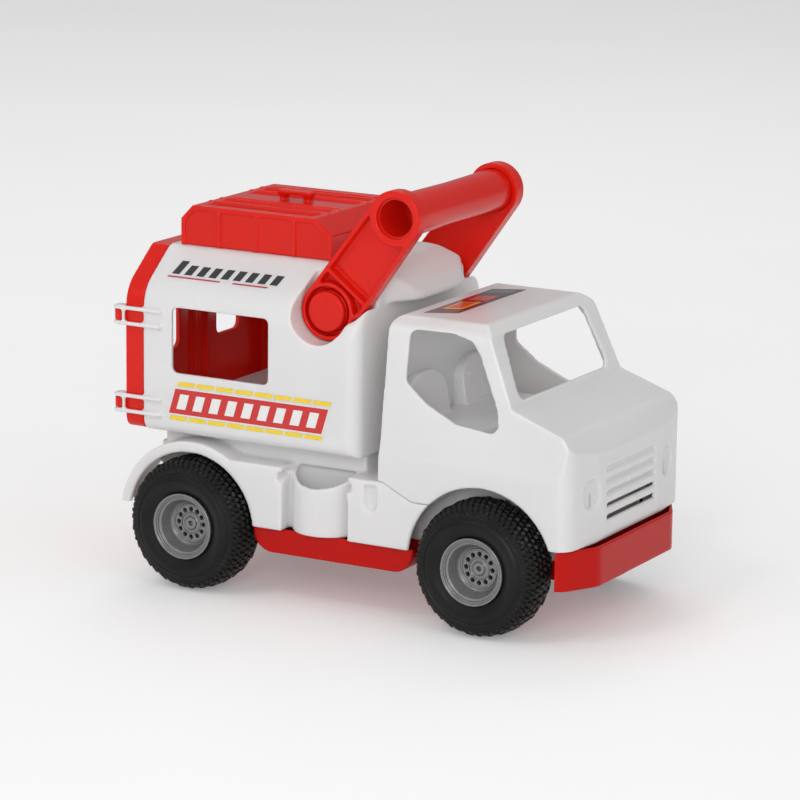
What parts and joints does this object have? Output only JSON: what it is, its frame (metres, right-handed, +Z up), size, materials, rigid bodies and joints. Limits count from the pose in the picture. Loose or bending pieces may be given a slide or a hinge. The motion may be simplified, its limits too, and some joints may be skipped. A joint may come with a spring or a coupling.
{
  "type": "toy ambulance",
  "caption": "Moulded toy ambulance truck with an open cab, a box body with hinged rear doors, a roof cover, a swinging carry handle and free-rolling wheels.",
  "frame": {"origin": "on the ground under the middle of the truck's outer box", "axes": "+X is forward, +Y is the truck's left side, +Z is up"},
  "size_m": [0.3317, 0.182, 0.2685],
  "materials": {
    "white_shell": "smooth white moulded plastic",
    "red": "smooth red moulded plastic",
    "deep_red": "smooth red moulded plastic, a shade deeper",
    "rim_grey": "satin grey moulded plastic",
    "tyre": "soft black plastic with moulded tread blocks",
    "steel": "plain zinc-plated steel"
  },
  "bodies": {
    "truck": {"chassis": "white_shell", "underbody": "deep_red", "cab": "white_shell", "cab_seat": "white_shell", "body": "white_shell", "roof_cover": "red", "hinge_pins": "white_shell", "underbody_screws": "steel", "body_screws": "steel"},
    "right_door": {"door_right": "red"},
    "left_door": {"door_left": "red"},
    "carry_handle": {"handle_arm_right": "red", "handle_arm_left": "red", "handle_grip": "red", "pivot_cap_right": "red", "pivot_cap_left": "red"},
    "front_wheels": {"axle_front": "steel", "rim_front_right": "rim_grey", "rim_front_left": "rim_grey", "tyre_front_right": "tyre", "tyre_front_left": "tyre"},
    "rear_wheels": {"axle_rear": "steel", "rim_rear_right": "rim_grey", "rim_rear_left": "rim_grey", "tyre_rear_right": "tyre", "tyre_rear_left": "tyre"}
  },
  "joints": [
    {"name": "front_wheels_roll", "type": "hinge", "parent": "truck", "child": "front_wheels", "pos_m": [0.098, 0, 0.043], "axis": [0, 1, 0], "continuous": true},
    {"name": "rear_wheels_roll", "type": "hinge", "parent": "truck", "child": "rear_wheels", "pos_m": [-0.11, 0, 0.043], "axis": [0, 1, 0], "continuous": true},
    {"name": "right_door_hinge", "type": "hinge", "parent": "truck", "child": "right_door", "pos_m": [-0.1615, -0.08, 0.145], "axis": [0, 0, 1], "range_deg": [0, 180]},
    {"name": "left_door_hinge", "type": "hinge", "parent": "truck", "child": "left_door", "pos_m": [-0.1615, 0.08, 0.145], "axis": [0, 0, -1], "range_deg": [0, 180]},
    {"name": "handle_swing", "type": "hinge", "parent": "truck", "child": "carry_handle", "pos_m": [-0.0173, 0, 0.1884], "axis": [0, 1, 0], "range_deg": [-24, 0]}
  ]
}
